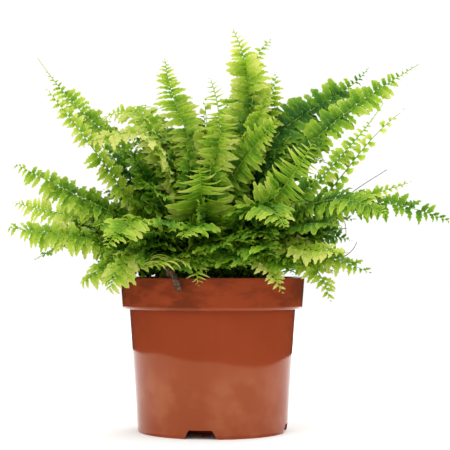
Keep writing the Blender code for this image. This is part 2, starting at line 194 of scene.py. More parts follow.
# Length of the leaflets along a blade, to the longest.
ENVELOPE = ((0.0, 0.45), (0.12, 0.85), (0.4, 1.0), (0.75, 0.92), (0.88, 0.62), (0.95, 0.4),
            (1.0, 0.16))

# How far leaflets point to the tip, at the foot of a blade and more at its end, and how far they
# lift, in radians.
LEAF_FORWARD = 0.16
TIP_FORWARD = 0.42
LEAF_LIFT = 0.16

# How the leaflets of a frond differ: the ranges of the random draws, in the order of their seeds.
JITTER = {
    "size": (0.80, 1.14),
    "veer": (-0.18, 0.18),
    "roll": (-0.42, 0.42),
    "tilt": (-0.26, 0.26),
    "luck": (0.0, 1.0),
    "shade": (-0.10, 0.10),
    "pick": (0.0, VARIANTS - 0.01),
}
RACHIS_FOOT = 0.0008
RACHIS_TIP = 0.00022

# Leaf colours from the darkest to the palest, and a rachis from foot to tip, in linear light.
LEAF_STOPS = (
    (0.00, (0.006, 0.040, 0.010)),
    (0.28, (0.034, 0.150, 0.012)),
    (0.52, (0.170, 0.370, 0.014)),
    (0.76, (0.450, 0.600, 0.045)),
    (1.00, (0.700, 0.720, 0.240)),
)
STEM_STOPS = ((0.0, (0.10, 0.06, 0.02)), (0.16, (0.18, 0.28, 0.03)), (1.0, (0.46, 0.60, 0.05)))

# How much paler a leaflet gets: towards the tip of its frond, towards its own tip, in patches and
# in fine mottling, then at its edge, between its veins and, where it gets darker, along its rib.
TONE_GAINS = {"leaf_share": 0.38, "leaf_along": 0.38, "patch": 0.40, "fine": 0.10}
EDGE_GAIN = 0.4
VEIN_GAIN = 0.22
RIB_GAIN = -0.08

# The waves of its veins, in radians along a leaflet and back towards its edge, and the rib's share
# of its half-width.
VEINS = 62.0
VEIN_SLANT = -9.0
RIB_HALF = 0.16

# The pot's floor: radii of the level pad's underside and its top, of the channel's inner edge below
# and above, and of the drain holes' circle and the holes.
PAD_LOW = 0.024
PAD_TOP = 0.0250
CHANNEL_LOW = 0.0262
CHANNEL_TOP = 0.0270
DRAIN_CIRCLE = 0.0365
DRAIN_HOLE = 0.0035

# How far the pot's lower lip and its thin edges are rounded.
LIP_ROUND = 0.0022
FLOOR_ROUND = 0.0012
EDGE_ROUND = 0.0008

# The root ball: its gap to the pot, the foot that stands on the pad and the step over the channel,
# in (r, z), and how deep its crumbly top goes.
SOIL_GAP = 0.0003
SOIL_FOOT = 0.0230
SOIL_STEP = ((0.0260, 0.0075), (0.0466, 0.0075))
CRUMBLY = 0.006

# The lamps: place, width in metres and power in watts.
LAMPS = {
    "key": ((-0.7, -0.7, 1.3), 1.2, 10.0),
    "back": ((0.5, 1.1, 1.0), 1.2, 12.0),
    "side": ((1.2, -0.2, 0.7), 0.9, 3.0),
}
LAMP_AIM = (0, 0, 0.13)
CAMERA_TILT = 91.66
CAMERA_SHIFT = 0.0278

# The root tip: its hairs and their reach, thickness at foot and end, and droop.
ROOT_HAIRS = 260
HAIR_REACH = (0.0026, 0.0044)
HAIR_THICK = (0.00020, 0.00005)
HAIR_DROOP = (0, 0, -0.0004)


class Graph:
    """Adds nodes to a tree: sources are sockets or plain values, given by input name or number."""

    def __init__(self, tree):
        self.tree = tree

    def add(self, kind, sources=None, **settings):
        node = self.tree.nodes.new(kind)
        for name, value in settings.items():
            setattr(node, name, value)
        for key, source in (sources or {}).items():
            self.feed(node.inputs[key], source)
        return node

    def feed(self, socket, source):
        if isinstance(source, bpy.types.NodeSocket):
            self.tree.links.new(source, socket)
        else:
            socket.default_value = source

    def maths(self, operation, *sources, clamp=False):
        node = self.add("ShaderNodeMath", dict(enumerate(sources)), operation=operation)
        node.use_clamp = clamp
        return node.outputs[0]

    def vectors(self, operation, *sources):
        node = self.add("ShaderNodeVectorMath", dict(enumerate(sources)), operation=operation)
        return node.outputs["Vector"]

    def scaled(self, vector, factor):
        node = self.add("ShaderNodeVectorMath", {0: vector, "Scale": factor}, operation="SCALE")
        return node.outputs["Vector"]

    def between(self, low, high, seed, salt):
        """A random float for each point."""
        node = self.add("FunctionNodeRandomValue", {2: low, 3: high}, data_type="FLOAT")
        self.feed(node.inputs["Seed"], self.maths("ADD", seed, float(salt)))
        return node.outputs[1]

    def attribute(self, name, kind="FLOAT"):
        """A named attribute in Geometry Nodes."""
        node = self.add("GeometryNodeInputNamedAttribute", {"Name": name}, data_type=kind)
        return node.outputs["Attribute"]

    def store(self, geometry, name, value, kind="FLOAT", domain="POINT"):
        node = self.add("GeometryNodeStoreNamedAttribute", {"Geometry": geometry, "Name": name},
                        data_type=kind, domain=domain)
        self.feed(node.inputs["Value"], value)
        return node.outputs["Geometry"]

    def finished(self, parts, material, result):
        """Join the parts, make instances real and set the material: the end of a tree."""
        join = self.add("GeometryNodeJoinGeometry")
        for part in parts:
            self.tree.links.new(part, join.inputs[0])
        real = self.add("GeometryNodeRealizeInstances", {"Geometry": join.outputs[0]}).outputs[0]
        dressed = self.add("GeometryNodeSetMaterial", {"Geometry": real, "Material": material})
        self.feed(result, dressed.outputs[0])
        return self.tree

    def noise(self, vector, scale, detail=3.0, roughness=0.5):
        return self.add("ShaderNodeTexNoise", {"Vector": vector, "Scale": scale, "Detail": detail,
                                               "Roughness": roughness}).outputs["Fac"]


def node_tree(name, kind, inputs, outputs):
    """A new node group with its sockets, its input and its output node."""
    tree = bpy.data.node_groups.new(name, kind)
    for label, socket, default in inputs:
        made = tree.interface.new_socket(label, in_out="INPUT", socket_type=socket)
        if default is not None:
            made.default_value = default
    for label, socket in outputs:
        tree.interface.new_socket(label, in_out="OUTPUT", socket_type=socket)
    graph = Graph(tree)
    return graph, graph.add("NodeGroupInput").outputs, graph.add("NodeGroupOutput").inputs


def unit(rows):
    """Rows of vectors at length one."""
    return rows / np.linalg.norm(rows, axis=1, keepdims=True)


def directions(path):
    """The direction of a path at each of its points."""
    return unit(np.gradient(path, axis=0))


def plain_mesh(piece, modifier):
    """Keep an object's evaluated shape as its mesh, and remove the modifier."""
    graph = bpy.context.evaluated_depsgraph_get()
    made = bpy.data.meshes.new_from_object(piece.evaluated_get(graph), depsgraph=graph)
    piece.modifiers.remove(modifier)
    piece.data = made
    return made


def mesh_of(name, bm):
    """A mesh from a bmesh, which is freed."""
    mesh = bpy.data.meshes.new(name)
    bm.to_mesh(mesh)
    bm.free()
    return mesh


def run_nodes(source, tree, values):
    """Evaluate a Geometry Nodes tree on an object and keep the result as its plain mesh."""
    modifier = source.modifiers.new("build", "NODES")
    modifier.node_group = tree
    sockets = {item.name: item for item in tree.interface.items_tree if item.in_out == "INPUT"}
    for name, value in values.items():
        modifier[sockets[name].identifier] = value
    made = plain_mesh(source, modifier)
    made.name = source.name
    keep_slots(made)


def keep_slots(mesh):
    """Keep each of a mesh's materials once and drop empty slots."""
    held = list(mesh.materials)
    kept = [finish for finish in dict.fromkeys(held) if finish]
    index = np.zeros(len(mesh.polygons), np.int32)
    mesh.polygons.foreach_get("material_index", index)
    slots = np.array([kept.index(finish) if finish else 0 for finish in held], np.int32)
    mesh.materials.clear()
    for finish in kept:
        mesh.materials.append(finish)
    mesh.polygons.foreach_set("material_index", slots[index])


def link(name, mesh):
    """A linked object at the origin."""
    made = bpy.data.objects.new(name, mesh)
    bpy.context.scene.collection.objects.link(made)
    return made


def mesh_object(name, points, faces, materials=()):
    mesh = bpy.data.meshes.new(name)
    mesh.from_pydata([tuple(map(float, p)) for p in points], [], [tuple(f) for f in faces])
    for finish in materials:
        mesh.materials.append(finish)
    mesh.shade_smooth()
    return link(name, mesh)


def set_numbers(mesh, name, values, domain="POINT", kind="FLOAT"):
    layer = mesh.attributes.new(name, kind, domain)
    layer.data.foreach_set("value", np.ascontiguousarray(values))


def get_numbers(mesh, name, dtype=np.float32):
    layer = mesh.attributes[name]
    values = np.zeros(len(layer.data), dtype)
    layer.data.foreach_get("value", values)
    return values


def place(piece, node):
    """Hand a finished piece to the frame in its node's stead."""
    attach(piece, "root")
    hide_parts(node)


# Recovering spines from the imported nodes.


def node_mesh(node):
    """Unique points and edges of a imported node."""
    mesh = frame["nodes"][node].data
    points = np.array([v.co for v in mesh.vertices])
    keys = np.round(points / TINY / 10).astype(int)
    _, first, index = np.unique(keys, axis=0, return_index=True, return_inverse=True)
    index = index.reshape(-1)
    edges = {tuple(sorted((index[a], index[b]))) for a, b in (e.vertices for e in mesh.edges)}
    return points[first], [pair for pair in edges if pair[0] != pair[1]]


def ring_walk(node):
    """The node's rings of four points from foot to tip."""
    points, edges = node_mesh(node)
    near = [set() for _ in points]
    for a, b in edges:
        near[a].add(b)
        near[b].add(a)
    capped = [(a, b) for a, b in edges if len(near[a] & near[b]) >= 2]
    rings = []
    for start in end_rings(points, near, capped):
        rings = [start]
        seen = set(start)
        while True:
            grown = set().union(*(near[k] for k in rings[-1])) - seen
            if len(grown) != RING:
                break
            rings.append(sorted(grown))
            seen |= grown
        if len(seen) == len(points):
            break
    if len(rings) * RING != len(points):
        raise ValueError(f"{node} does not walk as rings of {RING}")
    return points, rings


def end_rings(points, near, edges):
    """Candidate end caps: four points joined in a closed square with a diagonal, lowest first."""
    found = []
    for a, b in edges:
        both = near[a] & near[b]
        for c in both:
            for d in both:
                if c < d and d not in near[c]:
                    corners = {a, b, c, d}
                    outside = set().union(*(near[k] for k in corners)) - corners
                    if len(outside) == RING:
                        found.append(sorted(corners))
    low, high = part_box("crown")
    crown = np.array(((low.x + high.x) / 2, (low.y + high.y) / 2, high.z))
    return sorted(found, key=lambda ring: np.linalg.norm(points[ring].mean(0) - crown))


@dataclass
class Spine:
    points: np.ndarray
    side: np.ndarray
    upper: np.ndarray


def spine_of(node):
    """Middle line of a frond or runner, with its side and upper-face directions."""
    points, rings = ring_walk(node)
    corners = np.array([points[ring] for ring in rings])
    middles = corners.mean(1)
    along = directions(middles)
    uppers = []
    for ring, run in zip(corners, along):
        apart = np.linalg.norm(ring[:, None] - ring[None], axis=2)
        a, b = np.unravel_index(apart.argmax(), apart.shape)
        edge = (ring[a] + ring[b]) / 2
        rest = [k for k in range(RING) if k not in (a, b)]
        keel = ring[rest[int(np.argmax([np.linalg.norm(ring[k] - edge) for k in rest]))]]
        upper = edge - keel
        side = ring[b] - ring[a]
        side -= run * (side @ run)
        if np.cross(run, upper) @ side < 0:
            side = -side
        uppers.append(np.cross(side / np.linalg.norm(side), run))
    return Spine(middles, *settle_frames(np.array(uppers), along, corners))


def settle_frames(uppers, along, corners):
    """Smooth the frames where the section is wide enough to tell its side, and carry them on."""
    spans = np.linalg.norm(corners.max(1) - corners.min(1), axis=1)
    sure = spans > 0.6 * np.median(np.sort(spans)[-len(spans) // 2:])
    if not sure.any():
        sure[:] = True
    place_of = np.arange(len(spans))
    known = place_of[sure]
    for k in place_of[~sure]:
        nearest = known[np.abs(known - k).argmin()]
        uppers[k] = uppers[nearest]
    for _ in range(2):
        uppers[1:-1] = (uppers[:-2] + 2 * uppers[1:-1] + uppers[2:]) / 4
    uppers = square_to(along, uppers)
    return np.cross(along, uppers), uppers


def square_to(along, uppers):
    """Unit vectors turned to stand square to a path."""
    return unit(uppers - along * (uppers * along).sum(1)[:, None])


# Leaflets.


def leaflet(name, shape, seed, flip):
    """One thin closed leaflet of unit length along X with its upper face up, as a mesh object."""
    rng = np.random.default_rng(seed)
    vary = rng.uniform(*LEAF_VARIES, 6)
    phase = rng.uniform(0, math.tau, 2)
    u = np.linspace(0, 1, LEAF_ROWS + 1)
    v = np.array(LEAF_COLUMNS)
    half = np.clip(u / shape.base, LEAF_FOOT_WIDTH, 1) ** 0.5
    half *= np.clip((1 - u) / shape.tip, 0, 1) ** shape.tip_power
    half *= shape.half * np.where(np.arange(LEAF_ROWS + 1) % 2, 1.0, 1 - shape.tooth)
    turn = -shape.droop * vary[0] * (u ** 1.5 - 0.25)
    veer = shape.sweep * vary[1] * u * flip
    step = np.stack([np.cos(turn) * np.cos(veer), np.cos(turn) * np.sin(veer), np.sin(turn)], 1)
    line = np.cumsum(step, axis=0) / LEAF_ROWS
    line -= line[0] + LEAF_SETBACK * step[0]
    roll = shape.twist * vary[2] * (u - 0.3) * flip
    across = np.stack([-np.sin(veer), np.cos(veer), np.zeros_like(u)], 1)
    up = np.cross(step, across)
    flat = across * np.cos(roll)[:, None] + up * np.sin(roll)[:, None]
    up = np.cross(step, flat)
    grid = v[None] * half[:, None]
    right, left = (np.sin(u * waves + start)[:, None] for waves, start in zip(RUFFLES, phase))
    wave = np.where(v[None] > 0, right, left)
    lift = shape.fold * vary[3] * np.abs(grid) - FOLD_EASE * shape.fold * grid ** 2 / shape.half
    lift += shape.ruffle * vary[4] * half[:, None] * v[None] ** 2 * wave
    ahead = shape.slant * half[:, None] * v[None] ** 2 * (1 - u[:, None])
    top = line[:, None] + flat[:, None] * grid[..., None] + up[:, None] * lift[..., None]
    top += step[:, None] * ahead[..., None]
    low = top - up[:, None] * LEAF_THICKNESS
    rows, columns = grid.shape
    points = list(top[:-1].reshape(-1, 3)) + [top[-1, columns // 2]]
    marks = [(a, b) for a in u[:-1] for b in v] + [(1.0, 0.0)]
    tip = len(points) - 1
    upper = np.arange((rows - 1) * columns).reshape(rows - 1, columns)
    lower = upper.copy()
    for r in range(1, rows - 1):
        for c in range(1, columns - 1):
            lower[r, c] = len(points)
            points.append(low[r, c])
            marks.append((u[r], v[c]))
    faces = []
    under = []
    for sheet, below in ((upper, 0), (lower, 1)):
        for r in range(rows - 2):
            for c in range(columns - 1):
                faces.append((sheet[r, c], sheet[r + 1, c], sheet[r + 1, c + 1], sheet[r, c + 1]))
                under.append(below)
        for c in range(columns - 1):
            faces.append((sheet[-1, c], tip, sheet[-1, c + 1]))
            under.append(below)
    faces = [tuple(reversed(f)) if below else tuple(f) for f, below in zip(faces, under)]
    made = mesh_object(name, points, faces)
    mesh = made.data
    set_numbers(mesh, "leaf_along", np.array([m[0] for m in marks], np.float32))
    set_numbers(mesh, "leaf_across", np.array([m[1] for m in marks], np.float32))
    set_numbers(mesh, "leaf_under", np.array(under, np.int32), "FACE", "INT")
    rim = {tuple(sorted((int(a), int(b)))) for column in (0, columns - 1)
           for a, b in zip(upper[:, column], [*upper[1:, column], tip])}
    rim |= {tuple(sorted((int(a), int(b)))) for a, b in zip(upper[0], upper[0][1:])}
    sharp = [tuple(sorted(e.vertices)) in rim for e in mesh.edges]
    set_numbers(mesh, "sharp_edge", np.array(sharp, bool), "EDGE", "BOOLEAN")
    if signed_volume(mesh) < 0:
        mesh.flip_normals()
    return made


def signed_volume(mesh):
    total = 0.0
    for face in mesh.polygons:
        corners = [mesh.vertices[k].co for k in face.vertices]
        for a, b in zip(corners[1:], corners[2:]):
            total += corners[0].dot(a.cross(b))
    return total / 6


def leaflet_collections():
    """Left-hand and right-hand leaflets in all shapes, in name order, hidden from the scene."""
    made = []
    for flip, word in ((-1, "right"), (1, "left")):
        collection = bpy.data.collections.new(f"leaflets_{word}")
        for index, name in enumerate(SHAPE_NAMES):
            for variant in range(VARIANTS):
                piece = leaflet(f"{word}_{index}_{variant}", SHAPES[name], 10 * index + variant,
                                flip)
                bpy.context.scene.collection.objects.unlink(piece)
                collection.objects.link(piece)
        made.append(collection)
    return made


# The frond's node tree.


def frond_tree():
    """Geometry Nodes: leaflets on both sides of a rachis, and the rachis as a tapered tube."""
    graph, given, result = node_tree(
        "Frond",
        "GeometryNodeTree",
        (
            ("Spine", "NodeSocketGeometry", None),
            ("Right leaflets", "NodeSocketCollection", None),
            ("Left leaflets", "NodeSocketCollection", None),
            ("Material", "NodeSocketMaterial", None),
            ("Pitch", "NodeSocketFloat", 0.004),
            ("Half-width", "NodeSocketFloat", 0.014),
            ("Stipe share", "NodeSocketFloat", STIPE_SHARE),
            ("Tone", "NodeSocketFloat", 0.5),
            ("Tip from", "NodeSocketFloat", 0.85),
            ("Blade shape", "NodeSocketInt", 0),
            ("Tip shape", "NodeSocketInt", 0),
            ("Missing", "NodeSocketFloat", 0.03),
            ("Hang", "NodeSocketFloat", 0.1),
            ("Tail", "NodeSocketFloat", 1.0),
            ("Seed", "NodeSocketInt", 1),
        ),
        (("Mesh", "NodeSocketGeometry"),),
    )
    seed = given["Seed"]
    curve = graph.add("GeometryNodeMeshToCurve", {"Mesh": given["Spine"]}).outputs["Curve"]
    resampled = graph.add("GeometryNodeResampleCurve", {"Curve": curve, "Length": given["Pitch"]},
                          mode="LENGTH").outputs["Curve"]
    factor = graph.add("GeometryNodeSplineParameter").outputs["Factor"]
    tangent = graph.add("GeometryNodeInputTangent").outputs["Tangent"]
    blade = graph.maths("DIVIDE", graph.maths("SUBTRACT", factor, given["Stipe share"]),
                        graph.maths("SUBTRACT", 1.0, given["Stipe share"]))
    share = graph.maths("MULTIPLY", blade, 1.0, clamp=True)
    envelope = graph.add("ShaderNodeFloatCurve", {"Value": share})
    shape_curve(envelope.mapping, ENVELOPE)
    side = graph.attribute("side", "FLOAT_VECTOR")
    upper = graph.attribute("upper", "FLOAT_VECTOR")
    number = graph.add("GeometryNodeInputIndex").outputs["Index"]
    parts = []
    for salt, (sign, label) in enumerate(((1.0, "Right leaflets"), (-1.0, "Left leaflets"))):
        size, veer, roll, tilt, luck, shade, pick = (
            graph.between(low, high, seed, 10 * salt + k)
            for k, (low, high) in enumerate(JITTER.values()))
        shift = graph.scaled(tangent, graph.maths("MULTIPLY", given["Pitch"], 0.5 * salt))
        points = graph.add("GeometryNodeSetPosition", {"Geometry": resampled, "Offset": shift})
        points = points.outputs["Geometry"]
        points = graph.store(points, "leaf_share", share)
        points = graph.store(points, "leaf_tone", graph.maths("ADD", given["Tone"], shade))
        points = graph.store(points, "leaf_number",
                             graph.maths("MULTIPLY_ADD", number, 2.0, float(salt)))
        forward = graph.maths("ADD", graph.maths("MULTIPLY_ADD", graph.maths("POWER", share, 3.0),
                                                 TIP_FORWARD, LEAF_FORWARD), veer)
        away = graph.scaled(side, graph.maths("MULTIPLY", graph.maths("COSINE", forward), sign))
        ahead = graph.scaled(tangent, graph.maths("SINE", forward))
        lifted = graph.scaled(upper, LEAF_LIFT)
        hung = graph.add("ShaderNodeCombineXYZ",
                         {"Z": graph.maths("MULTIPLY", given["Hang"], -1.0)}).outputs[0]
        heading = graph.vectors("ADD", graph.vectors("ADD", away, ahead),
                                graph.vectors("ADD", lifted, hung))
        aimed = graph.add("FunctionNodeAxesToRotation",
                          {"Primary Axis": heading, "Secondary Axis": upper},
                          primary_axis="X", secondary_axis="Z").outputs[0]
        wobble = graph.add("ShaderNodeCombineXYZ", {"X": roll, "Y": tilt}).outputs[0]
        wobble = graph.add("FunctionNodeEulerToRotation", {"Euler": wobble}).outputs[0]
        aimed = graph.add("FunctionNodeRotateRotation", {"Rotation": aimed, "Rotate By": wobble},
                          rotation_space="LOCAL").outputs[0]
        reach = graph.maths("POWER", envelope.outputs[0], given["Tail"])
        scale = graph.maths("MULTIPLY", graph.maths("MULTIPLY", reach, size), given["Half-width"])
        at_tip = graph.maths("GREATER_THAN", share, given["Tip from"])
        family = graph.add("ShaderNodeMix", {0: at_tip, 2: given["Blade shape"],
                                             3: given["Tip shape"]}).outputs[0]
        chosen = graph.maths("ADD", graph.maths("MULTIPLY", family, float(VARIANTS)),
                             graph.maths("FLOOR", pick))
        kept = graph.maths("MULTIPLY", graph.maths("GREATER_THAN", blade, 0.0),
                           graph.maths("GREATER_THAN", luck, given["Missing"]))
        stock = graph.add("GeometryNodeCollectionInfo", {"Collection": given[label]})
        stock.inputs["Separate Children"].default_value = True
        stock.inputs["Reset Children"].default_value = True
        parts.append(graph.add("GeometryNodeInstanceOnPoints", {
            "Points": points, "Selection": kept, "Instance": stock.outputs[0],
            "Pick Instance": True, "Instance Index": chosen, "Rotation": aimed,
            "Scale": scale}).outputs["Instances"])
    stem = graph.store(curve, "leaf_share", factor)
    stem = graph.store(stem, "leaf_tone", given["Tone"])
    stem = graph.store(stem, "leaf_number",
                       graph.maths("SUBTRACT", -1.0, graph.attribute("spine_number")))
    stem = graph.store(stem, "leaf_along", factor)
    thick = graph.add("ShaderNodeMapRange", {"Value": factor, 3: RACHIS_FOOT, 4: RACHIS_TIP})
    ring = graph.add("GeometryNodeCurvePrimitiveCircle", {"Resolution": 6, "Radius": 1.0})
    ring = graph.store(ring.outputs["Curve"], "leaf_across", factor)
    tube = graph.add("GeometryNodeCurveToMesh", {
        "Curve": stem, "Profile Curve": ring, "Scale": thick.outputs[0],
        "Fill Caps": True}).outputs["Mesh"]
    return graph.finished((tube, *parts), given["Material"], result["Mesh"])


def shape_curve(mapping, points):
    """Set a curve widget's points."""
    curve = mapping.curves[0]
    while len(curve.points) < len(points):
        curve.points.new(0.5, 0.5)
    for held, (x, y) in zip(curve.points, points):
        held.location = (x, y)
    mapping.update()


def leaf_map(mesh):
    """UV map with one cell for each face of each leaflet, and a strip for each rachis."""
    number = np.round(get_numbers(mesh, "leaf_number")).astype(int)
    along = get_numbers(mesh, "leaf_along")
    across = get_numbers(mesh, "leaf_across")
    under = get_numbers(mesh, "leaf_under", np.int32)
    sizes = np.zeros(len(mesh.polygons), int)
    mesh.polygons.foreach_get("loop_total", sizes)
    face = np.repeat(np.arange(len(sizes)), sizes)
    vertex = np.zeros(len(mesh.loops), int)
    mesh.loops.foreach_get("vertex_index", vertex)
    owner = number[vertex]
    known, place_in = np.unique(owner[owner >= 0], return_inverse=True)
    rows = max(2, math.ceil(math.sqrt(4 * len(known))))
    columns = math.ceil(2 * len(known) / rows)
    cell = np.zeros(len(vertex), int)
    cell[owner >= 0] = 2 * place_in.reshape(-1) + under[face][owner >= 0]
    inset = 0.06
    local = np.stack([along[vertex], across[vertex] / 2 + 0.5], 1) * (1 - 2 * inset) + inset
    strip = 0.04
    uv = np.stack([(cell // rows + local[:, 0]) / columns,
                   strip + (1 - strip) * (cell % rows + local[:, 1]) / rows], 1)
    turn = across[vertex].astype(float)
    ends = np.append(0, np.cumsum(sizes))[:-1]
    highest = np.maximum.reduceat(turn, ends)
    lowest = np.minimum.reduceat(turn, ends)
    wraps = (highest - lowest > 0.5)[face] & (turn < 0.5)
    stem = owner < 0
    lane = (np.abs(owner) - 1 + (turn + wraps) * 0.8) / -owner.min()
    uv[stem] = np.stack([along[vertex], lane * strip], 1)[stem]
    layer = mesh.uv_layers.new(name=BAKE_MAP)
    layer.uv.foreach_set("vector", uv.astype(np.float32).reshape(-1))


# Materials.


def new_material(name):
    made = bpy.data.materials.new(name)
    made.use_nodes = True
    graph = Graph(made.node_tree)
    return made, graph, made.node_tree.nodes["Principled BSDF"]


def ramp(graph, value, stops):
    node = graph.add("ShaderNodeValToRGB", {"Fac": value})
    held = node.color_ramp.elements
    while len(held) < len(stops):
        held.new(0.5)
    for element, (position, colour) in zip(held, stops):
        element.position = position
        element.color = (*colour, 1.0)
    return node.outputs["Color"]


def blended(graph, factor, a, b, mode="MIX"):
    node = graph.add("ShaderNodeMix", data_type="RGBA", blend_type=mode)
    graph.feed(node.inputs[0], factor)
    graph.feed(node.inputs[6], a if isinstance(a, bpy.types.NodeSocket) else (*a, 1.0))
    graph.feed(node.inputs[7], b if isinstance(b, bpy.types.NodeSocket) else (*b, 1.0))
    return node.outputs[2]


def smooth_step(graph, value, low, high):
    node = graph.add("ShaderNodeMapRange", {"Value": value, 1: low, 2: high},
                     interpolation_type="SMOOTHSTEP")
    return node.outputs[0]


def object_noise(graph, scale, detail=3.0, roughness=0.5):
    place_at = graph.add("ShaderNodeTexCoord").outputs["Object"]
    return graph.noise(place_at, scale, detail, roughness)


def leaf_group():
    """Colours, roughness and normal of a leaflet from its attributes."""
    graph, given, result = node_tree(
        "Leaf surface",
        "ShaderNodeTree",
        (
            ("Tone shift", "NodeSocketFloat", 0.0),
            ("Vein depth", "NodeSocketFloat", 0.12),
            ("Edge light", "NodeSocketFloat", 0.45),
        ),
        (
            ("Colour", "NodeSocketColor"),
            ("Glow", "NodeSocketColor"),
            ("Roughness", "NodeSocketFloat"),
            ("Normal", "NodeSocketVector"),
        ),
    )
    read = {name: graph.add("ShaderNodeAttribute", attribute_name=name).outputs["Fac"]
            for name in ("leaf_tone", "leaf_share", "leaf_along", "leaf_across", "leaf_number")}
    read["patch"] = object_noise(graph, 55.0)
    read["fine"] = fine = object_noise(graph, 420.0)
    edge = graph.maths("ABSOLUTE", read["leaf_across"])
    rim = smooth_step(graph, edge, 0.55, 1.0)
    wave = graph.maths("SINE", graph.maths("MULTIPLY_ADD", read["leaf_along"], VEINS,
                                           graph.maths("MULTIPLY", edge, VEIN_SLANT)))
    rib = graph.maths("SUBTRACT", 1.0, smooth_step(graph, edge, 0.0, RIB_HALF))
    tone = graph.maths("ADD", read["leaf_tone"], given["Tone shift"])
    for source, gain in (
            *((graph.maths("SUBTRACT", read[name], 0.5), gain)
              for name, gain in TONE_GAINS.items()),
            (rim, graph.maths("MULTIPLY", given["Edge light"], EDGE_GAIN)),
            (wave, graph.maths("MULTIPLY", given["Vein depth"], VEIN_GAIN)),
            (rib, RIB_GAIN)):
        tone = graph.maths("ADD", tone, graph.maths("MULTIPLY", source, gain))
    leaf = ramp(graph, tone, LEAF_STOPS)
    stem = ramp(graph, read["leaf_share"], STEM_STOPS)
    is_leaf = graph.maths("GREATER_THAN", read["leaf_number"], -0.5)
    colour = blended(graph, is_leaf, stem, leaf)
    glow = graph.add("ShaderNodeHueSaturation", {"Hue": 0.5, "Saturation": 1.1, "Value": 1.35,
                                                 "Color": colour}).outputs[0]
    rough = graph.maths("MULTIPLY_ADD", fine, 0.2, 0.36)
    height = graph.maths("MULTIPLY_ADD", wave, 0.4, graph.maths("MULTIPLY", rib, -1.5))
    bump = graph.add("ShaderNodeBump", {"Strength": 0.35, "Distance": 0.00025, "Height": height})
    for name, source in (("Colour", colour), ("Glow", glow), ("Roughness", rough),
                         ("Normal", bump.outputs[0])):
        graph.feed(result[name], source)
    return graph.tree


def leaf_material(name, shift, thin):
    """Glossy, see-through leaf tissue."""
    made, graph, shader = new_material(name)
    surface = graph.add("ShaderNodeGroup", node_tree=bpy.data.node_groups["Leaf surface"])
    surface.inputs["Tone shift"].default_value = shift
    graph.feed(shader.inputs["Base Color"], surface.outputs["Colour"])
    graph.feed(shader.inputs["Roughness"], surface.outputs["Roughness"])
    graph.feed(shader.inputs["Normal"], surface.outputs["Normal"])
    shader.inputs["IOR"].default_value = 1.42
    shader.inputs["Specular IOR Level"].default_value = 0.28
    through = graph.add("ShaderNodeBsdfTranslucent", {"Color": surface.outputs["Glow"]})
    mixed = graph.add("ShaderNodeMixShader", {0: thin, 1: shader.outputs[0], 2: through.outputs[0]})
    graph.feed(made.node_tree.nodes["Material Output"].inputs["Surface"], mixed.outputs[0])
    return made


def pot_material():
    """Moulded terracotta-coloured plastic with faint streaks, painted shade on the rim, and pale
    lime marks low down that also paint the table's reflection.
    """
    made, graph, shader = new_material("pot_plastic")
    place_at = graph.add("ShaderNodeTexCoord").outputs["Object"]
    stretched = graph.add("ShaderNodeMapping", {"Vector": place_at, "Scale": (1.0, 1.0, 0.08)})
    streak = graph.noise(stretched.outputs[0], 130.0, 4.0)
    cloud = object_noise(graph, 22.0)
    speck = smooth_step(graph, object_noise(graph, 900.0, 2.0), 0.74, 0.80)
    height = graph.add("ShaderNodeSeparateXYZ", {0: place_at}).outputs["Z"]
    banded = graph.add("ShaderNodeMapping", {"Vector": place_at, "Scale": (1.0, 1.0, 2.6)})
    # Painted shade: the rim's upper band is darkened in mottled patches, standing in for the shade
    # of the overhanging fronds.
    rim_shade_mottle = graph.noise(banded.outputs[0], 32.0, 5.0, 0.62)
    rim_painted_shade = graph.maths("MULTIPLY", smooth_step(graph, height, 0.076, 0.083),
                        smooth_step(graph, rim_shade_mottle, 0.60, 0.40))
    # Paler orange blotches low on the body: partly lime marks, partly a painted reflection of the
    # white table in the lower wall.
    lime_and_painted_reflection = graph.maths("MULTIPLY", smooth_step(graph, height, 0.050, 0.030),
                       smooth_step(graph, object_noise(graph, 48.0), 0.45, 0.70))
    colour = blended(graph, cloud, (0.225, 0.036, 0.011), (0.285, 0.050, 0.017))
    for mark, strength, paint in (
            (streak, 0.15, (0.33, 0.08, 0.035)),
            (speck, 0.5, (0.08, 0.03, 0.015)),
            (rim_painted_shade, 0.62, (0.085, 0.020, 0.008)),
            (lime_and_painted_reflection, 0.25, (0.44, 0.17, 0.08))):
        colour = blended(graph, graph.maths("MULTIPLY", mark, strength), colour, paint)
    graph.feed(shader.inputs["Base Color"], colour)
    graph.feed(shader.inputs["Roughness"], graph.maths("MULTIPLY_ADD", cloud, 0.04, 0.03))
    shader.inputs["IOR"].default_value = 1.5
    shader.inputs["Specular IOR Level"].default_value = 0.42
    shader.inputs["Specular Tint"].default_value = (1.0, 0.72, 0.42, 1.0)
    wavy = object_noise(graph, 26.0, 1.0)
    bump = graph.add("ShaderNodeBump", {"Strength": 0.25, "Distance": 0.0006, "Height": wavy})
    grain = graph.add("ShaderNodeBump", {"Strength": 0.06, "Distance": 0.0002, "Height": streak,
                                         "Normal": bump.outputs[0]})
    graph.feed(shader.inputs["Normal"], grain.outputs[0])
    return made


def earthy_material(name, dark, light, scale, bumpy):
    """Rough organic matter in two colours."""
    made, graph, shader = new_material(name)
    mottled = object_noise(graph, scale, 6.0, 0.65)
    graph.feed(shader.inputs["Base Color"], blended(graph, smooth_step(graph, mottled, 0.35, 0.68),
                                                    dark, light))
    shader.inputs["Roughness"].default_value = 0.9
    bump = graph.add("ShaderNodeBump", {"Strength": 0.8, "Distance": bumpy, "Height": mottled})
    graph.feed(shader.inputs["Normal"], bump.outputs[0])
    return made


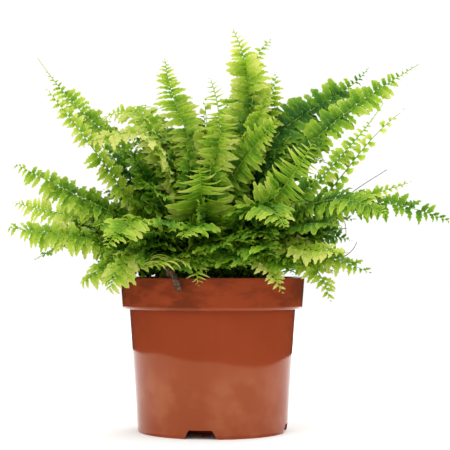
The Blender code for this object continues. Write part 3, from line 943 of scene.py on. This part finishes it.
def plain_material(name, colour, roughness):
    made, _, shader = new_material(name)
    shader.inputs["Base Color"].default_value = (*colour, 1.0)
    shader.inputs["Roughness"].default_value = roughness
    shader.inputs["Specular IOR Level"].default_value = 0.0
    return made


# Pot.


def arc(centre, radius, first_deg, last_deg, steps):
    angles = np.radians(np.linspace(first_deg, last_deg, steps + 1))
    return [(centre[0] + radius * math.cos(a), centre[1] + radius * math.sin(a)) for a in angles]


def pot_outline(settings, rim, height):
    """Outline in (r, z), from the underside's centre round the outside to the floor's top."""
    wall = settings.wall
    low = height - settings.rim_height
    top = rim * settings.body_top_share
    foot = rim * settings.body_low_share
    rim_low = rim * settings.rim_low_share
    floor = settings.floor_rise
    lip = LIP_ROUND

    def body(z):
        return foot + (top - foot) * z / low

    outer = [(body(z), z) for z in np.linspace(0.0009, low - 0.0006, 24)]
    return [
        (0.0, 0.0), (PAD_LOW, 0.0),
        *arc((CHANNEL_LOW, floor - FLOOR_ROUND), FLOOR_ROUND, 150, 90, 4),
        (foot - 0.0018, floor), (foot - 0.0016, 0.0004), (foot - 0.0012, 0.0), (foot - 0.0007, 0.0),
        *arc((foot - 0.0007, EDGE_ROUND), EDGE_ROUND, -80, 0, 4), *outer,
        (top, low - 0.0002), (top + 0.0004, low),
        *arc((rim_low - lip, low + lip), lip, -90, 0, 8),
        *[(rim_low + (rim - rim_low) * s, low + lip + (height - low - lip - 0.0014) * s)
          for s in np.linspace(0.1, 1, 8)],
        *arc((rim - 0.0007, height - EDGE_ROUND), EDGE_ROUND, 10, 170, 8),
        (rim_low - wall - 0.0002, low + lip + wall), (top - wall, low + wall),
        (body(floor + wall) - wall, floor + wall), (CHANNEL_TOP, floor + wall), (PAD_TOP, wall),
        (0.0, wall),
    ]


def lathe(name, outline, sides, finish, sharp_deg=40.0):
    """Turn an outline in (r, z) that runs from the axis below, out and up, back to the axis."""
    outline = [outline[0], *(b for a, b in zip(outline, outline[1:]) if math.dist(a, b) > TINY)]
    turn = np.linspace(0, math.tau, sides, endpoint=False)
    points = []
    rings = []
    for r, z in outline:
        used = turn if r > 0 else turn[:1]
        rings.append(range(len(points), len(points) + len(used)))
        points += [(r * math.cos(a), r * math.sin(a), z) for a in used]
    faces = []
    for low, high in zip(rings, rings[1:]):
        for k in range(sides):
            n = (k + 1) % sides
            corners = (low[k % len(low)], low[n % len(low)],
                       high[n % len(high)], high[k % len(high)])
            faces.append(tuple(dict.fromkeys(corners)))
    piece = mesh_object(name, points, faces, [finish])
    piece.data.set_sharp_from_angle(angle=math.radians(sharp_deg))
    return piece


def notches(settings, foot):
    """Trapezoid cutters through the foot ring and round ones through the floor."""
    bm = bmesh.new()
    count = settings.notches
    top = settings.floor_rise - 0.0002
    low, high = settings.notch_low_width / 2, settings.notch_top_width / 2
    for index in range(count):
        turn = Matrix.Rotation(math.radians(settings.notch_azimuth + index * 360 / count), 4, "Z")
        ends = []
        for x in (foot - 0.006, foot + 0.006):
            corners = ((x, -low - 0.0006, -0.001), (x, low + 0.0006, -0.001), (x, high, top),
                       (x, -high, top))
            ends.append([bm.verts.new(turn @ Vector(c)) for c in corners])
        bm.faces.new(reversed(ends[0]))
        bm.faces.new(ends[1])
        for k in range(4):
            bm.faces.new((ends[0][k], ends[0][k - 3], ends[1][k - 3], ends[1][k]))
    for index in range(2 * count):
        angle = math.radians(settings.notch_azimuth) + math.tau * (index + 0.5) / (2 * count)
        middle = Vector((math.cos(angle), math.sin(angle), 0)) * DRAIN_CIRCLE
        middle.z = settings.floor_rise + settings.wall / 2
        bmesh.ops.create_cone(bm, cap_ends=True, segments=32, radius1=DRAIN_HOLE,
                              radius2=DRAIN_HOLE, depth=4 * settings.wall,
                              matrix=Matrix.Translation(middle))
    bmesh.ops.recalc_face_normals(bm, faces=bm.faces)
    return link("pot_cutter", mesh_of("pot_cutter", bm))


def apply_boolean(piece, tool):
    """Cut a tool out of a piece."""
    cut = piece.modifiers.new("cut", "BOOLEAN")
    cut.operation = "DIFFERENCE"
    cut.solver = "EXACT"
    cut.object = tool
    plain_mesh(piece, cut)
    bpy.data.objects.remove(tool)


# Tubes for runners and roots.


def swept(name, path, radii, finish, sides=8):
    """A closed tube along a path with a rounded start and end."""
    path = np.asarray(path, float)
    along = directions(path)
    side = unit(np.cross(along, (0.3, 0.2, 0.93)))
    up = np.cross(side, along)
    turn = np.linspace(0, math.tau, sides, endpoint=False)
    rings = (path[:, None] + radii[:, None, None] * (
        side[:, None] * np.cos(turn)[None, :, None] + up[:, None] * np.sin(turn)[None, :, None]))
    points = [path[0], *rings.reshape(-1, 3), path[-1]]
    last = len(points) - 1
    faces = []
    for k in range(sides):
        n = (k + 1) % sides
        faces.append((0, 1 + n, 1 + k))
        faces.append((last, last - sides + k, last - sides + n))
        for r in range(len(path) - 1):
            a = 1 + r * sides
            faces.append((a + k, a + n, a + sides + n, a + sides + k))
    return mesh_object(name, points, faces, [finish])


def fine_path(points, count):
    """More points along a path, rounded by a Catmull-Rom curve."""
    points = np.asarray(points, float)
    ends = np.vstack([2 * points[0] - points[1], points, 2 * points[-1] - points[-2]])
    spots = np.linspace(0, len(points) - 1 - TINY, count)
    made = []
    for spot in spots:
        k = int(spot)
        t = spot - k
        a, b, c, d = ends[k:k + 4]
        made.append(0.5 * (2 * b + (c - a) * t + (2 * a - 5 * b + 4 * c - d) * t ** 2
                           + (3 * b - a - 3 * c + d) * t ** 3))
    return np.array(made)


def joined(name, pieces):
    """Several meshes as one object."""
    bm = bmesh.new()
    materials = []
    for piece in pieces:
        base = len(materials)
        materials += list(piece.data.materials)
        before = len(bm.faces)
        bm.from_mesh(piece.data)
        bm.faces.ensure_lookup_table()
        for face in bm.faces[before:]:
            face.material_index += base
    mesh = mesh_of(name, bm)
    for finish in materials:
        mesh.materials.append(finish)
    keep_slots(mesh)
    for piece in pieces:
        bpy.data.objects.remove(piece)
    return link(name, mesh)


# Settings and operators.


class PotSettings(bpy.types.PropertyGroup):
    sides: bpy.props.IntProperty(name="Sides", description="Sides of the turned pot", default=192)
    wall: bpy.props.FloatProperty(name="Wall", description="Wall thickness", default=0.0012,
                                  unit="LENGTH")
    rim_height: bpy.props.FloatProperty(name="Rim height", description="Height of the rim band",
                                        default=0.0205, unit="LENGTH")
    rim_low_share: bpy.props.FloatProperty(name="Rim foot", default=0.9783, subtype="FACTOR",
                                           description="Rim radius at its lower lip, to its top")
    body_top_share: bpy.props.FloatProperty(name="Body top", default=0.90, subtype="FACTOR",
                                            description="Wall radius under the rim, to its top")
    body_low_share: bpy.props.FloatProperty(name="Body foot", default=0.81, subtype="FACTOR",
                                            description="Wall radius at the foot, to the rim's top")
    floor_rise: bpy.props.FloatProperty(name="Floor rise", default=0.0058, unit="LENGTH",
                                        description="Height of the floor's channel over the table")
    notches: bpy.props.IntProperty(name="Notches", description="Drain notches", default=4)
    notch_azimuth: bpy.props.FloatProperty(name="Notch azimuth", default=-99.0,
                                           description="Direction of the front notch, in degrees")
    notch_low_width: bpy.props.FloatProperty(name="Notch foot width", default=0.0213,
                                             unit="LENGTH", description="Width at the table")
    notch_top_width: bpy.props.FloatProperty(name="Notch top width", default=0.0145,
                                             unit="LENGTH", description="Width at its top")


class FrondSettings(bpy.types.PropertyGroup):
    seed: bpy.props.IntProperty(name="Seed", description="Seed of the leaflets' jitter", default=7)
    pitch_scale: bpy.props.FloatProperty(name="Pitch scale", default=1.0, min=0.5, max=3.0,
                                         description="Spacing of the leaflets, to their style's")
    undergrowth: bpy.props.IntProperty(name="Undergrowth", default=90,
                                       description="Shorter fronds between the others")
    under_width: bpy.props.FloatProperty(name="Undergrowth half-width", default=0.017,
                                         unit="LENGTH", description="Length of its leaflets")
    width_scale: bpy.props.FloatProperty(name="Width scale", default=1.0, min=0.3, max=1.5,
                                         description="Length of the leaflets, to their frond's")


class SoilSettings(bpy.types.PropertyGroup):
    crumbs: bpy.props.FloatProperty(name="Crumbs", default=90000.0,
                                    description="Crumbs of peat on each square metre")
    seed: bpy.props.IntProperty(name="Seed", description="Seed of the crumbs", default=3)


class StageSettings(bpy.types.PropertyGroup):
    distance: bpy.props.FloatProperty(name="Camera distance", default=0.88, unit="LENGTH",
                                      description="From the pot's axis to the camera")
    height: bpy.props.FloatProperty(name="Camera height", default=0.1085, unit="LENGTH",
                                    description="Height of the camera over the table")
    table_reach: bpy.props.FloatProperty(name="Table reach", default=0.273, unit="LENGTH",
                                         description="How far the reflected table top reaches")
    lens: bpy.props.FloatProperty(name="Lens", description="Focal length in millimetres",
                                  default=107.44)


class FERN_OT_pot(bpy.types.Operator):
    """Turn the pot, with its rim, foot notches and drain holes"""

    bl_idname = "fern.pot"
    bl_label = "Pot"

    def execute(self, context):
        settings = context.scene.fern_pot
        low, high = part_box("pot")
        rim = high.x
        outline = pot_outline(settings, rim, high.z)
        piece = lathe("pot_body", outline, settings.sides, pot_material(), 32.0)
        apply_boolean(piece, notches(settings, rim * settings.body_low_share))
        place(piece, "pot")
        if low.z < -TINY:
            raise ValueError("the pot reaches below the table")
        return {"FINISHED"}


class FERN_OT_soil(bpy.types.Operator):
    """Model the root ball's crumbly top and the knobbly crown"""

    bl_idname = "fern.soil"
    bl_label = "Soil and crown"

    def execute(self, context):
        settings = context.scene.fern_soil
        peat = earthy_material("peat", (0.008, 0.005, 0.0035), (0.05, 0.03, 0.018), 420.0, 0.0008)
        low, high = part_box("soil")
        edge = high.x - SOIL_GAP
        level = high.z - 0.0006
        outline = [(0.0, low.z), (SOIL_FOOT, low.z), *SOIL_STEP, (edge, high.z - 0.012),
                   *[(r, level - 0.0025 * max(0, r / edge - 0.6))
                     for r in np.linspace(edge, 0, 40)[:-1]], (0.0, level)]
        piece = lathe("peat_ball", outline, 96, peat, 180.0)
        for vert in piece.data.vertices:
            if vert.co.z > high.z - CRUMBLY:
                drop = noise.noise(vert.co * 170.0) * 0.0008 + noise.noise(vert.co * 520.0) * 0.0006
                vert.co.z += drop - 0.0004
        run_nodes(piece, crumb_tree(), {"Density": settings.crumbs, "Seed": settings.seed,
                                        "Floor": high.z - CRUMBLY, "Crumb": crumb(),
                                        "Material": peat})
        piece.data.shade_smooth()
        place(piece, "soil")
        self.crown()
        return {"FINISHED"}

    def crown(self):
        low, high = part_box("crown")
        radius = high.x
        rings = radius * np.cos(np.linspace(0.05, math.pi / 2, 24))[:-1]
        outline = [(0.0, low.z), (radius - 0.001, low.z),
                   *[(r, low.z + 0.0004 + (high.z - low.z - 0.001) * (1 - (r / radius) ** 2))
                     for r in rings], (0.0, high.z - 0.0006)]
        finish = earthy_material("rhizome", (0.03, 0.015, 0.008), (0.14, 0.075, 0.03), 300.0,
                                 0.0006)
        piece = lathe("crown_knobs", outline, 72, finish, 180.0)
        for vert in piece.data.vertices:
            if vert.co.z > low.z + 0.0008:
                vert.co.z += 0.0005 * noise.noise(vert.co * 400.0) - 0.0003
        place(piece, "crown")


def crumb():
    """A lump of peat of unit size."""
    bm = bmesh.new()
    bmesh.ops.create_icosphere(bm, subdivisions=1, radius=1.0)
    for vert in bm.verts:
        vert.co *= 1 + 0.45 * noise.noise(vert.co * 1.9)
    return bpy.data.objects.new("crumb", mesh_of("crumb", bm))


def crumb_tree():
    """Geometry Nodes: crumbs scattered on the upper faces, half sunk in."""
    graph, given, result = node_tree(
        "Crumbs",
        "GeometryNodeTree",
        (
            ("Ground", "NodeSocketGeometry", None),
            ("Crumb", "NodeSocketObject", None),
            ("Material", "NodeSocketMaterial", None),
            ("Density", "NodeSocketFloat", 50000.0),
            ("Floor", "NodeSocketFloat", 0.0),
            ("Seed", "NodeSocketInt", 1),
        ),
        (("Mesh", "NodeSocketGeometry"),),
    )
    position = graph.add("GeometryNodeInputPosition").outputs[0]
    height = graph.add("ShaderNodeSeparateXYZ", {0: position}).outputs["Z"]
    above = graph.maths("GREATER_THAN", height, given["Floor"])
    spread = graph.add("GeometryNodeDistributePointsOnFaces",
                       {"Mesh": given["Ground"], "Selection": above, "Density": given["Density"],
                        "Seed": given["Seed"]}, distribute_method="RANDOM").outputs["Points"]
    stock = graph.add("GeometryNodeObjectInfo", {"Object": given["Crumb"]}).outputs["Geometry"]
    spin = graph.add("FunctionNodeRandomValue", {0: (0, 0, 0), 1: (6.28, 6.28, 6.28),
                                                 "Seed": given["Seed"]}, data_type="FLOAT_VECTOR")
    size = graph.add("FunctionNodeRandomValue", {0: (0.0003, 0.0003, 0.0003),
                                                 1: (0.0013, 0.0010, 0.0008),
                                                 "Seed": 5}, data_type="FLOAT_VECTOR")
    turned = graph.add("FunctionNodeEulerToRotation", {"Euler": spin.outputs[0]}).outputs[0]
    laid = graph.add("GeometryNodeInstanceOnPoints", {"Points": spread, "Instance": stock,
                                                      "Rotation": turned, "Scale": size.outputs[0]})
    return graph.finished((given["Ground"], laid.outputs[0]), given["Material"], result["Mesh"])


class FERN_OT_fronds(bpy.types.Operator):
    """Dress every frond's rachis with leaflets"""

    bl_idname = "fern.fronds"
    bl_label = "Fronds"

    def execute(self, context):
        settings = context.scene.fern_fronds
        slots = {s["node"]: s["material_slot"] for s in frame["record"]["subparts"]}
        right, left = leaflet_collections()
        tree = frond_tree()
        leaf_group()
        finishes = {"mature": leaf_material("leaf_mature", -0.02, 0.34),
                    "young": leaf_material("leaf_young", 0.0, 0.42),
                    "pale": leaf_material("leaf_pale", 0.02, 0.46),
                    "round": leaf_material("leaf_round", 0.0, 0.42)}
        nodes = sorted(n for n in frame["nodes"] if n.startswith("frond_"))
        spines = [spine_of(node) for node in nodes]

        def grow(name, group, kind, habit, order):
            style_name, half, tone, facing = habit
            style = STYLES[style_name]
            piece = spine_object(name, [rolled(spine, facing) for spine in group])
            run_nodes(piece, tree, {
                "Right leaflets": right, "Left leaflets": left, "Material": finishes[kind],
                "Pitch": style.pitch / 1000 * settings.pitch_scale,
                "Half-width": half / 1000 * settings.width_scale, "Tone": tone,
                "Tip from": style.tip_from, "Blade shape": SHAPE_NAMES.index(style.blade),
                "Tip shape": SHAPE_NAMES.index(style.tip), "Missing": style.missing,
                "Hang": style.hang, "Tail": style.tail, "Seed": settings.seed * 100 + order})
            leaf_map(piece.data)
            return piece

        for order, (node, spine) in enumerate(zip(nodes, spines)):
            kind = slots[node].split("_")[1]
            usual = (KIND_STYLE[kind], KIND_HALF_WIDTH[kind], KIND_TONE[kind], 0.0)
            habit = HABITS.get(node, usual)
            place(grow(f"{node}_leaves", [spine], kind, habit, order), node)
        under = undergrowth(spines, settings.undergrowth, settings.seed)
        under.sort(key=lambda spine: math.atan2(spine.points[-1][1], spine.points[-1][0]))
        for order in range(UNDER_PIECES):
            first, end = (len(under) * k // UNDER_PIECES for k in (order, order + 1))
            habit = (UNDER_STYLES[order % len(UNDER_STYLES)], settings.under_width * 1000,
                     UNDER_TONE, 0.0)
            piece = grow(f"under_{order + 1:02d}", under[first:end], "mature", habit,
                         UNDER_FIRST_SEED + order)
            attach(piece, "root")
        return {"FINISHED"}


def undergrowth(spines, count, seed):
    """Shorter fronds: means of two neighbours' spines, and low fronds turned about the pot."""
    tips = np.array([spine.points[-1] for spine in spines])
    apart = np.linalg.norm(tips[:, None] - tips[None], axis=2)
    pairs = [(apart[a, b], a, b) for a in range(len(tips)) for b in range(a)
             if UNDER_NEAR < apart[a, b] < UNDER_FAR]
    pairs = [pairs[k] for k in np.random.default_rng(seed).permutation(len(pairs))]
    used = np.zeros(len(spines), int)
    made = []
    for gap, a, b in pairs:
        if len(made) == count:
            break
        if max(used[a], used[b]) >= UNDER_EACH:
            continue
        used[[a, b]] += 1
        share = UNDER_LENGTH - UNDER_SHORTER * gap
        end = round(len(spines[a].points) * max(share, UNDER_SHORTEST))
        first, second = spines[a], spines[b]
        made.append(Spine(((first.points + second.points) / 2)[:end],
                          unit((first.side + second.side)[:end]),
                          unit((first.upper + second.upper)[:end])))
    for spine in spines:
        if spine.points[-1][2] < UNDER_LOW:
            for degrees, share in UNDER_TURNS:
                end = round(len(spine.points) * share)
                turn = np.array(Matrix.Rotation(math.radians(degrees), 3, "Z"))
                made.append(Spine(*(values[:end] @ turn.T
                                    for values in (spine.points, spine.side, spine.upper))))
    return made


def rolled(spine, facing):
    """The same spine with its upper face leaning to the front."""
    along = directions(spine.points)
    upper = square_to(along, spine.upper + (0.0, -facing, 0.0))
    return Spine(spine.points, np.cross(along, upper), upper)


def spine_object(name, spines):
    """Polylines that carry each rachis, its number and its side and upper directions."""
    points = []
    edges = []
    held = {"side": [], "upper": []}
    numbers = []
    for number, spine in enumerate(spines):
        path = fine_path(spine.points, 3 * len(spine.points))
        edges += [(len(points) + k, len(points) + k + 1) for k in range(len(path) - 1)]
        points += [tuple(p) for p in path]
        numbers += [number] * len(path)
        old = np.linspace(0, 1, len(spine.points))
        new = np.linspace(0, 1, len(path))
        for label, values in (("side", spine.side), ("upper", spine.upper)):
            held[label].append(np.stack([np.interp(new, old, axis) for axis in values.T], 1))
    mesh = bpy.data.meshes.new(name)
    mesh.from_pydata(points, edges, [])
    for label, values in held.items():
        layer = mesh.attributes.new(label, "FLOAT_VECTOR", "POINT")
        layer.data.foreach_set("vector", np.concatenate(values).astype(np.float32).reshape(-1))
    set_numbers(mesh, "spine_number", np.array(numbers, np.float32))
    return link(name, mesh)


class FERN_OT_runners(bpy.types.Operator):
    """Draw the wiry runners and the hairy root tip over the rim"""

    bl_idname = "fern.runners"
    bl_label = "Runners"

    def execute(self, context):
        wiry = earthy_material("runner_skin", (0.05, 0.035, 0.02), (0.20, 0.15, 0.08), 700.0,
                               0.0001)
        for node in sorted(n for n in frame["nodes"] if n.startswith("runner_")):
            path = fine_path(spine_of(node).points, 90)
            taper = np.linspace(0.00055, 0.0002, len(path))
            piece = swept(f"{node}_wire", path, taper, wiry)
            place(piece, node)
        self.root()
        return {"FINISHED"}

    def root(self):
        """The root tip: a lumpy core with short hairs all over."""
        woolly = earthy_material("root_skin", (0.030, 0.014, 0.008), (0.20, 0.11, 0.06), 700.0,
                                 0.0006)
        path = fine_path(spine_of("root_tip").points, 80)
        grown = np.linspace(0, 1, len(path))
        bulge = 0.0011 + 0.0008 * grown + 0.0004 * np.sin(17 * grown) + 0.0003 * np.sin(41 * grown)
        bulge[-8:] *= np.sqrt(np.linspace(1, 0.03, 8))
        pieces = [swept("root_core", path, bulge, woolly, 10)]
        rng = np.random.default_rng(4)
        for k in range(ROOT_HAIRS):
            start = path[rng.integers(4, len(path) - 1)]
            lean = rng.normal(0, 1, 3)
            lean /= np.linalg.norm(lean)
            reach = rng.uniform(*HAIR_REACH)
            hair = fine_path([start, start + lean * reach * 0.5,
                              start + lean * reach + HAIR_DROOP], 4)
            pieces.append(swept(f"hair_{k}", hair, np.linspace(*HAIR_THICK, 4), woolly, 3))
        place(joined("root_wool", pieces), "root_tip")


class FERN_OT_stage(bpy.types.Operator):
    """Set the pale table, the lights and the camera"""

    bl_idname = "fern.stage"
    bl_label = "Studio"

    def execute(self, context):
        settings = context.scene.fern_stage
        white = plain_material("table_white", (0.96, 0.96, 0.96), 0.7)
        card = plain_material("card_dark", (0.02, 0.018, 0.016), 0.9)
        turn = np.linspace(0, math.tau, 96, endpoint=False)
        behind = np.abs(np.cos((turn + math.pi / 2) / 2))
        reach = settings.table_reach / (0.29 + 0.71 * behind)
        reach *= 1 - 0.07 * np.cos(turn) + 0.012 * np.sin(4 * turn)
        near = mesh_object("table_top", [(r * math.cos(a), r * math.sin(a), 0.0)
                                         for a, r in zip(turn, reach)], [range(96)], [white])
        far = self.sheet("backdrop", 80.0, -0.0002, white)
        far.visible_glossy = False
        dark = self.sheet("dark_floor", 40.0, -0.002, card)
        for ray in ("camera", "diffuse", "transmission", "shadow"):
            setattr(dark, f"visible_{ray}", False)
        for name, lamp in LAMPS.items():
            self.light(name, *lamp)
        context.scene.world = self.studio()
        context.scene.view_settings.view_transform = "Standard"
        self.camera(context.scene, settings)
        return {"FINISHED"}

    def studio(self):
        """White all round, but a dark room with a bright ceiling in reflections."""
        world = bpy.data.worlds.new("studio")
        world.use_nodes = True
        graph = Graph(world.node_tree)
        ray = graph.add("ShaderNodeLightPath").outputs["Is Glossy Ray"]
        direction = graph.add("ShaderNodeTexCoord").outputs["Generated"]
        height = graph.add("ShaderNodeSeparateXYZ", {0: direction}).outputs["Z"]
        room = smooth_step(graph, height, 0.25, 0.8)
        seen = graph.maths("MULTIPLY_ADD", room, 0.75, 0.05)
        strength = graph.add("ShaderNodeMix", {0: ray, 2: 1.05, 3: seen}).outputs[0]
        graph.feed(world.node_tree.nodes["Background"].inputs["Color"], (1.0, 1.0, 1.0, 1.0))
        graph.feed(world.node_tree.nodes["Background"].inputs["Strength"], strength)
        return world

    def sheet(self, name, reach, z, finish):
        corners = [(x * reach, y * reach, z) for x, y in ((-1, -1), (1, -1), (1, 1), (-1, 1))]
        return mesh_object(name, corners, [(0, 1, 2, 3)], [finish])

    def light(self, name, position, size, power):
        data = bpy.data.lights.new(name, "AREA")
        data.shape = "DISK"
        data.size = size
        data.energy = power
        lamp = link(name, data)
        lamp.location = position
        aim = Vector(LAMP_AIM) - Vector(position)
        lamp.rotation_euler = aim.to_track_quat("-Z", "Y").to_euler()

    def camera(self, scene, settings):
        data = bpy.data.cameras.new("camera")
        data.lens = settings.lens
        data.shift_x = CAMERA_SHIFT
        camera = link("camera", data)
        camera.location = (0.0, -settings.distance, settings.height)
        camera.rotation_euler = (math.radians(CAMERA_TILT), 0.0, 0.0)
        scene.camera = camera


class FERN_PT_panel(bpy.types.Panel):
    bl_label = "Potted fern"
    bl_space_type = "VIEW_3D"
    bl_region_type = "UI"
    bl_category = "Fern"

    def draw(self, context):
        scene = context.scene
        for label, settings, operator in (("Pot", scene.fern_pot, "fern.pot"),
                                          ("Soil", scene.fern_soil, "fern.soil"),
                                          ("Fronds", scene.fern_fronds, "fern.fronds"),
                                          ("Studio", scene.fern_stage, "fern.stage")):
            box = self.layout.box()
            box.label(text=label)
            for name in settings.__annotations__:
                box.prop(settings, name)
            box.operator(operator)
        self.layout.operator("fern.runners")


GROUPS = {"fern_pot": PotSettings, "fern_soil": SoilSettings, "fern_fronds": FrondSettings,
          "fern_stage": StageSettings}
CLASSES = (*GROUPS.values(), FERN_OT_pot, FERN_OT_soil, FERN_OT_fronds, FERN_OT_runners,
           FERN_OT_stage, FERN_PT_panel)


def register():
    for held in CLASSES:
        bpy.utils.register_class(held)
    for name, group in GROUPS.items():
        setattr(bpy.types.Scene, name, bpy.props.PointerProperty(type=group))


def unregister():
    for name in GROUPS:
        delattr(bpy.types.Scene, name)
    for held in reversed(CLASSES):
        bpy.utils.unregister_class(held)


def main():
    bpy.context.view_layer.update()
    register()
    bpy.ops.fern.pot()
    bpy.ops.fern.soil()
    bpy.ops.fern.fronds()
    bpy.ops.fern.runners()
    bpy.ops.fern.stage()


if __name__ == "__main__":
    main()
